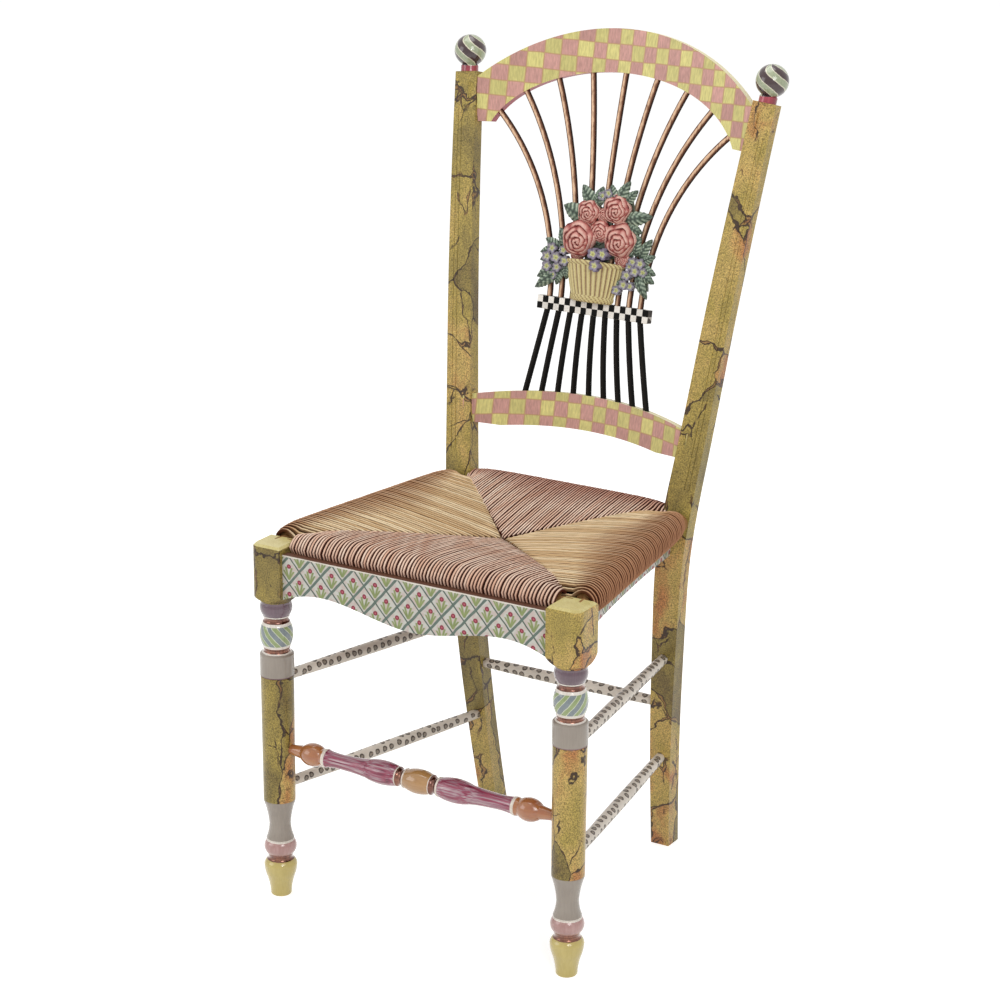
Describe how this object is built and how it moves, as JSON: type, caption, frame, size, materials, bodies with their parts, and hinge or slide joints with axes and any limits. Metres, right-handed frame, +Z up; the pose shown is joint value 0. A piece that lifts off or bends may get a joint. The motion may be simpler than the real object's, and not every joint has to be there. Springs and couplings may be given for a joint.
{
  "type": "painted rush seat side chair",
  "caption": "Hand-painted side chair with a sheaf of bent spindles, flower-basket splat, ball finials and woven rush seat.",
  "frame": {"origin": "on the floor, under the middle of the chair's width and depth", "axes": "+Z up, the chair faces -Y, +X to the viewer's right when facing it"},
  "size_m": [0.4582, 0.5121, 1.0139],
  "materials": {
    "leg_paint": "satin painted",
    "marbled_paint": "satin painted",
    "swirl_paint": "gloss painted",
    "check_paint": "satin painted",
    "rod_paint": "gloss painted",
    "bar_paint": "gloss painted",
    "rush": "woven rush cord",
    "bare_wood": "bare",
    "trellis_paint": "satin painted",
    "striped_paint": "satin painted",
    "spotted_paint": "satin painted",
    "basket_paint": "painted resin",
    "board_paint": "painted resin",
    "rose_paint": "painted resin",
    "leaf_paint": "painted resin",
    "blossom_paint": "painted resin"
  },
  "bodies": {
    "root": {"apron_front": "trellis_paint", "apron_side_left": "trellis_paint", "apron_side_right": "trellis_paint", "basket": "basket_paint", "blossom_1": "blossom_paint", "blossom_2": "blossom_paint", "blossom_3": "blossom_paint", "blossom_4": "blossom_paint", "crest_rail": "check_paint", "finial_left": "swirl_paint", "finial_right": "swirl_paint", "flower_board": "board_paint", "front_leg_left": "leg_paint", "front_leg_right": "leg_paint", "leaf_1": "leaf_paint", "leaf_2": "leaf_paint", "leaf_3": "leaf_paint", "leaf_4": "leaf_paint", "leaf_5": "leaf_paint", "leaf_6": "leaf_paint", "leaf_7": "leaf_paint", "leaf_8": "leaf_paint", "leaf_9": "leaf_paint", "lower_back_rail": "check_paint", "rear_post_left": "marbled_paint", "rear_post_right": "marbled_paint", "rose_1": "rose_paint", "rose_2": "rose_paint", "rose_3": "rose_paint", "rose_4": "rose_paint", "rush_seat": "rush", "seat_rail_front": "bare_wood", "seat_rail_rear": "bare_wood", "seat_rail_side_left": "bare_wood", "seat_rail_side_right": "bare_wood", "spindle_1": "rod_paint", "spindle_2": "rod_paint", "spindle_3": "rod_paint", "spindle_4": "rod_paint", "spindle_5": "rod_paint", "spindle_6": "rod_paint", "spindle_7": "rod_paint", "spindle_8": "rod_paint", "spindle_9": "rod_paint", "stretcher_front": "striped_paint", "stretcher_lower_left": "spotted_paint", "stretcher_lower_right": "spotted_paint", "stretcher_rear": "spotted_paint", "stretcher_upper_left": "spotted_paint", "stretcher_upper_right": "spotted_paint", "tie_bar": "bar_paint"}
  },
  "joints": []
}
